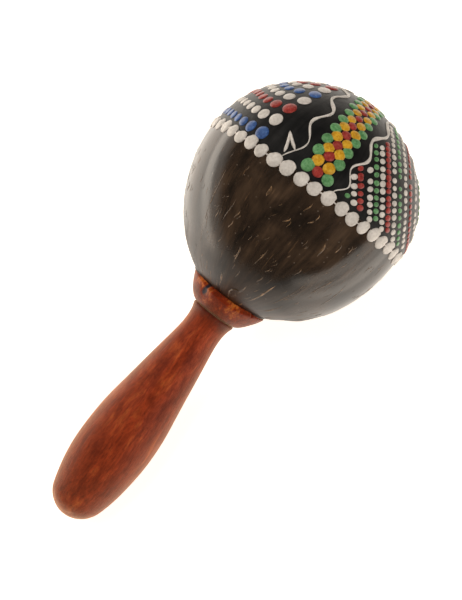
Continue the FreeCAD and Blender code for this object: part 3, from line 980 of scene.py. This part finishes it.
# In millimetres from the butt.
STAIN_START = 104.0
STAIN_LENGTH = 18.0
# Below about this height the collar's foot is darkened with painted shade, in the groove at the joint.
PAINTED_SHADE_FOOT = 117.4


def handle_wood():
    """The grip's wood, with a purple stain that deepens unevenly up the neck."""
    tones = ((0.120, 0.0115, 0.003), (0.245, 0.030, 0.0075), (0.430, 0.092, 0.020))
    wood = StainedWood("handle_wood", tones, 1.0)
    start = -STAIN_START / STAIN_LENGTH
    rise = wood.maths("MULTIPLY_ADD", wood.height(), 1 / STAIN_LENGTH, start)
    uneven = wood.maths("MULTIPLY_ADD", wood.blotches, 1.0, rise)
    share = wood.maths("MULTIPLY", uneven, 0.5)
    shade = wood.ramp(share, (0.45, grey(1.0)), (0.57, (0.34, 0.30, 0.60)))
    return wood.finish_wood(wood.multiply(wood.colour, shade))


def collar_wood():
    """The collar's wood, with the old glue at the chip, and painted shade that darkens its foot in the
    groove at the joint.
    """
    tones = ((0.070, 0.006, 0.002), (0.200, 0.021, 0.004), (0.720, 0.200, 0.030))
    wood = StainedWood("collar_wood", tones, 0.35)
    shorten = Vector((1.0, 1.0, 0.55))
    spot = in_own(CHIP_TURN, CHIP_RADIUS, CHIP_HEIGHT) / MM * shorten
    away = wood.distance(wood.vector("MULTIPLY", wood.own, shorten), spot)
    uneven = wood.maths("MULTIPLY_ADD", wood.grain, 2.5, away)
    share = wood.maths("MULTIPLY", uneven, 0.2)
    old_glue = wood.ramp(share, (0.52, grey(1.0)), (0.62, grey(0.0)))
    colour = wood.mix(old_glue, wood.colour, (0.022, 0.020, 0.027, 1.0))
    # Painted shade: the collar's foot in the groove over the handle is darkened where shade falls.
    foot = wood.maths("ADD", wood.height(), -PAINTED_SHADE_FOOT)
    shade = wood.ramp(foot, (0.3, (0.22, 0.14, 0.16)), (0.7, grey(1.0)))
    return wood.finish_wood(wood.multiply(colour, shade))


def along_meridians(surface, around_scale, up_scale):
    """Coordinates that stretch a pattern along the coconut's meridians."""
    flat = surface.vector("NORMALIZE", surface.vector("MULTIPLY", surface.own, (1.0, 1.0, 0.0)))
    rise = surface.vector("MULTIPLY", surface.own, (0.0, 0.0, up_scale * MM / NUT_RADIUS))
    return surface.vector("ADD", surface.vector("MULTIPLY", flat, (around_scale,) * 3), rise)


def coconut_shell():
    """Polished and lacquered coconut: near black, mottled brown, with pale threads of husk."""
    surface = Surface("coconut_shell_polished", 0.13, SEAM_CENTRE)
    mottle = surface.noise(along_meridians(surface, 4.0, 2.4), 1.0, 6.0, 0.58, 0.5)
    streaks = surface.noise(along_meridians(surface, 26.0, 3.6), 1.0, 5.0, 0.62)
    threads = surface.noise(along_meridians(surface, 62.0, 7.0), 1.0, 3.0, 0.5)
    specks = surface.specks(0.42)
    tones = ((0.009, 0.0056, 0.0035), (0.028, 0.016, 0.0090), (0.066, 0.038, 0.021))
    colour = surface.ramp(mottle, *zip((0.36, 0.54, 0.76), tones))
    shade = surface.ramp(streaks, (0.30, grey(0.70)), (0.52, grey(1.0)), (0.72, grey(1.5)))
    colour = surface.multiply(colour, shade)
    husk = surface.ramp(threads, (0.66, grey(0.0)), (0.76, grey(0.55)))
    colour = surface.mix(husk, colour, (0.16, 0.085, 0.040, 1.0))
    colour = surface.mix(specks, colour, (0.16, 0.12, 0.09, 1.0))
    # The polish is duller near the collar.
    share = surface.maths("MULTIPLY_ADD", surface.height(), MM / NUT_RADIUS, 1.0)
    uneven = surface.maths("MULTIPLY_ADD", mottle, 0.3, share)
    roughness = surface.ramp(uneven, (0.18, grey(0.42)), (0.36, grey(0.22)), (0.60, grey(0.13)))
    return surface.finish(colour, [(streaks, 0.025 * MM), (mottle, 0.07 * MM)], roughness)


def black_paint():
    """Black lacquer brushed over the upper half, with faint brush marks and rubbed patches."""
    surface = Surface("black_paint", 0.38, SEAM_CENTRE)
    surface.shader.inputs["Specular IOR Level"].default_value = 0.25
    brush = surface.noise(along_meridians(surface, 30.0, 2.5), 1.0, 4.0, 0.6)
    cloud = surface.noise(surface.own, 0.12, 4.0, 0.6)
    tones = ((0.006, 0.006, 0.006), (0.013, 0.012, 0.011), (0.024, 0.021, 0.019))
    colour = surface.ramp(cloud, *zip((0.35, 0.62, 0.8), tones))
    marks = surface.ramp(brush, (0.35, grey(0.75)), (0.65, grey(1.35)))
    colour = surface.multiply(colour, marks)
    return surface.finish(colour, [(brush, 0.05 * MM), (cloud, 0.25 * MM)])


def drop_paint(name, deep, full, thin, roughness=0.42):
    """Thick acrylic paint: its colour varies from drop to drop and is mottled inside each one."""
    surface = Surface(name, roughness, SEAM_CENTRE, coat=0.35, coat_roughness=0.18)
    pools = surface.noise(surface.own, 0.20, 2.0, 0.5)
    mottle = surface.noise(surface.own, 0.95, 4.0, 0.6)
    colour = surface.ramp(mottle, (0.32, deep), (0.52, full), (0.75, thin))
    tint = surface.ramp(pools, (0.3, grey(0.82)), (0.7, grey(1.12)))
    colour = surface.multiply(colour, tint)
    return surface.finish(colour, [(mottle, 0.12 * MM)])


def drop_paints():
    """The five paints by their names, each from its deep, full and thin colour."""
    white = ((0.46, 0.40, 0.34), (0.55, 0.49, 0.425), (0.62, 0.56, 0.49))
    red = ((0.17, 0.012, 0.010), (0.28, 0.028, 0.020), (0.38, 0.075, 0.055))
    green = ((0.05, 0.15, 0.05), (0.10, 0.25, 0.09), (0.19, 0.35, 0.16))
    yellow = ((0.38, 0.16, 0.005), (0.54, 0.27, 0.013), (0.62, 0.40, 0.05))
    blue = ((0.018, 0.050, 0.15), (0.038, 0.092, 0.25), (0.085, 0.165, 0.33))
    return {
        "white": drop_paint("white_paint", *white, 0.5),
        "red": drop_paint("red_paint", *red),
        "green": drop_paint("green_paint", *green),
        "yellow": drop_paint("yellow_paint", *yellow),
        "blue": drop_paint("blue_paint", *blue),
    }


def glue(name, colour_dark, colour_light):
    """Dried glue: cloudy, slightly glossy."""
    surface = Surface(name, 0.35, coat=0.2)
    cloud = surface.noise(surface.own, 0.9, 4.0, 0.6)
    colour = surface.ramp(cloud, (0.35, colour_dark), (0.65, colour_light))
    return surface.finish(colour, [(cloud, 0.10 * MM)])


def dry_seed():
    """The dry seeds that rattle inside."""
    surface = Surface("dry_seed", 0.55)
    spots = surface.noise(surface.own, 0.9, 4.0, 0.6)
    tones = ((0.10, 0.045, 0.018), (0.26, 0.14, 0.06), (0.38, 0.24, 0.11))
    colour = surface.ramp(spots, *zip((0.35, 0.55, 0.75), tones))
    return surface.finish(colour, [(spots, 0.15 * MM)])


def husk_fibre():
    """Lacquered threads of husk, some dark and some pale."""
    surface = Surface("husk_fibre", 0.5, SEAM_CENTRE, coat=0.5, coat_roughness=0.12)
    tone = surface.noise(surface.own, 0.35, 3.0, 0.6)
    tones = ((0.035, 0.020, 0.010), (0.11, 0.060, 0.027), (0.32, 0.18, 0.085))
    colour = surface.ramp(tone, *zip((0.36, 0.54, 0.70), tones))
    return surface.finish(colour, [(tone, 0.05 * MM)])


# The middle of the floor's glow, in millimetres from the seam along the axis, and the two
# distances from there, in metres, between which the glow falls.
GLOW_MIDDLE = -60.0
GLOW_EDGE = (0.26, 0.36)
FLOOR_GLOW = 0.80
FAR_GLOW = 0.30


def pale_floor():
    """The plain pale paper that the instrument lies on, lit through from below near it."""
    surface = Surface("pale_floor", 0.9, SEAM_CENTRE)
    tooth = surface.noise(surface.own, 0.5, 2.0, 0.5)
    colour = surface.ramp(tooth, (0.3, (0.88, 0.83, 0.76)), (0.7, (0.90, 0.85, 0.78)))
    metres = surface.maths("MULTIPLY", surface.distance(surface.own, (0.0, 0.0, GLOW_MIDDLE)), MM)
    start, end = GLOW_EDGE
    near, far = grey(FLOOR_GLOW), grey(FAR_GLOW)
    glow = surface.ramp(metres, (0.0, near), (start, near), (end, far))
    surface.links.new(glow, surface.shader.inputs["Emission Strength"])
    surface.shader.inputs["Emission Color"].default_value = (1.0, 0.92, 0.82, 1.0)
    return surface.finish(colour)


# ---------------------------- studio and camera

CAMERA_LEAN = math.radians(4.5)
IMAGE_TURN = math.radians(53)
CAMERA_DISTANCE = 434.7 * MM

TO_CAMERA = (UPWARD * math.cos(CAMERA_LEAN) + AXIS * math.sin(CAMERA_LEAN)).normalized()
AXIS_IN_IMAGE = (AXIS - TO_CAMERA * AXIS.dot(TO_CAMERA)).normalized()
SIDE_IN_IMAGE = TO_CAMERA.cross(AXIS_IN_IMAGE)
IMAGE_UP = AXIS_IN_IMAGE * math.sin(IMAGE_TURN) + SIDE_IN_IMAGE * math.cos(IMAGE_TURN)
IMAGE_RIGHT = AXIS_IN_IMAGE * math.cos(IMAGE_TURN) - SIDE_IN_IMAGE * math.sin(IMAGE_TURN)
VIEW_TARGET = at(126.4 * MM, sideways=2.4 * MM)


def make_floor():
    """A level sheet of 8 m, not attached to the instrument."""
    bm = bmesh.new()
    bmesh.ops.create_grid(bm, x_segments=8, y_segments=8, size=4.0)
    mesh = bpy.data.meshes.new("floor")
    bm.to_mesh(mesh)
    bm.free()
    floor = add_object("floor", mesh)
    mesh.materials.append(pale_floor())


BOX_DISTANCE = 0.9
WALL_COLOUR = (1.0, 0.91, 0.80)
PANEL_COLOUR = (1.0, 0.90, 0.78)
PANEL_RISE = 4 * MM


def area_light(name, width, height, power, colour):
    """A rectangular lamp that the camera doesn't see."""
    light = bpy.data.lights.new(name, "AREA")
    light.shape = "RECTANGLE"
    light.size = width
    light.size_y = height
    light.energy = power
    light.color = colour
    lamp = add_object(name, light)
    lamp.visible_camera = False
    return lamp


def soft_box(name, right, up, near, size, power, in_gloss):
    """An area light seen from the nut in a direction given by right and up in the image and near.

    With in_gloss it is a warm wall seen only in reflections. Without, it lights the surfaces and
    is left out of their reflections."""
    lamp = area_light(name, *size, power, WALL_COLOUR if in_gloss else (1.0, 1.0, 1.0))
    toward = (IMAGE_RIGHT * right + IMAGE_UP * up + TO_CAMERA * near).normalized()
    lamp.location = SEAM_CENTRE + toward * BOX_DISTANCE
    lamp.rotation_euler = toward.to_track_quat("Z", "Y").to_euler()
    lamp.visible_glossy = in_gloss
    lamp.visible_diffuse = not in_gloss


def low_panel(name, right, up, reach, length, radiance):
    """A light that lies on the floor out of view, for the nut and the paint to reflect.

    reach is where it starts and ends from the seam's centre, along right and up in the image."""
    toward = IMAGE_RIGHT * right + IMAGE_UP * up
    toward.z = 0
    toward.normalize()
    near, far = reach
    power = radiance * math.pi * length * (far - near)
    lamp = area_light(name, length, far - near, power, PANEL_COLOUR)
    lamp.location = SEAM_CENTRE + toward * (near + far) / 2
    lamp.location.z = PANEL_RISE
    facing = (Vector((0, 0, 1)) - toward * 0.05).normalized()
    across = Vector((0, 0, 1)).cross(toward).normalized()
    lamp.rotation_euler = Matrix((across, facing.cross(across), -facing)).transposed().to_euler()


def make_lights():
    """Two soft boxes over the instrument, and the wall and panels that it reflects."""
    soft_box("key", -0.5, 0.6, 1.0, (0.7, 0.7), 7.0, False)
    soft_box("fill", 0.7, -0.5, 0.6, (0.7, 0.7), 5.6, False)
    soft_box("right_wall", 0.72, -0.70, 0.05, (1.9, 0.17), 1.9, True)
    low_panel("left_panel", -1.0, 0.18, (0.165, 0.290), 0.33, 2.7)
    low_panel("near_left_panel", -1.0, 0.25, (0.075, 0.165), 0.22, 0.7)
    low_panel("right_panel", 0.72, -0.70, (0.160, 0.300), 0.40, 1.05)
    low_panel("far_right_panel", 0.72, -0.70, (0.310, 0.560), 0.60, 1.2)


def make_room():
    """A faint warm light from all round, and a pale backdrop where the camera sees past the floor."""
    world = bpy.data.worlds.new("studio")
    world.use_nodes = True
    seen = world.node_tree.nodes["Background"]
    seen.inputs["Color"].default_value = (0.80, 0.76, 0.71, 1.0)
    room = world.node_tree.nodes.new("ShaderNodeBackground")
    room.inputs["Strength"].default_value = 0.10
    room.inputs["Color"].default_value = (1.0, 0.86, 0.72, 1.0)
    rays = world.node_tree.nodes.new("ShaderNodeLightPath")
    choice = world.node_tree.nodes.new("ShaderNodeMixShader")
    links = world.node_tree.links
    links.new(rays.outputs["Is Camera Ray"], choice.inputs["Fac"])
    links.new(room.outputs["Background"], choice.inputs[1])
    links.new(seen.outputs["Background"], choice.inputs[2])
    links.new(choice.outputs["Shader"], world.node_tree.nodes["World Output"].inputs["Surface"])
    bpy.context.scene.world = world


def make_camera():
    """A camera over the instrument, turned so that the crown is to the upper right."""
    data = bpy.data.cameras.new("camera")
    data.lens = 57.0
    data.sensor_width = 36.0
    camera = add_object("camera", data)
    turn = Matrix((IMAGE_RIGHT, IMAGE_UP, TO_CAMERA)).transposed().to_4x4()
    camera.matrix_world = Matrix.Translation(VIEW_TARGET + TO_CAMERA * CAMERA_DISTANCE) @ turn
    bpy.context.scene.camera = camera
    bpy.context.scene.view_settings.view_transform = "Standard"


# ---------------------------- the whole scene


def dress(names, material):
    """Gives carried-over CAD nodes their material."""
    for name in names:
        mesh = frame["nodes"][name].data
        mesh.materials.clear()
        mesh.materials.append(material)


def dress_instrument():
    """Makes the finer and worn pieces and the paint, and gives the other nodes their looks."""
    make_lower_shell(coconut_shell())
    make_upper_shell(black_paint())
    worn_copy("handle", 0.6 * MM, wear_handle, "turned_handle", handle_wood())
    worn_copy("collar", 0.32 * MM, wear_collar, "turned_collar", collar_wood())
    paints = drop_paints()
    make_seam_band(paints["white"])
    make_road(paints)
    make_left_field(paints)
    make_right_field(paints)
    make_lines(paints["white"])
    make_fibres(husk_fibre())
    dress(["seam_glue"], glue("seam_glue_dry", (0.010, 0.007, 0.005), (0.05, 0.035, 0.022)))
    make_seat_bead(glue("seat_glue_dry", (0.006, 0.004, 0.003), (0.020, 0.012, 0.008)))
    dress(["tenon_glue"], glue("wood_glue_dry", (0.012, 0.006, 0.004), (0.045, 0.022, 0.012)))
    dress([name for name in frame["nodes"] if name.startswith("seed_")], dry_seed())


def main():
    dress_instrument()
    make_floor()
    make_lights()
    make_room()
    make_camera()


main()
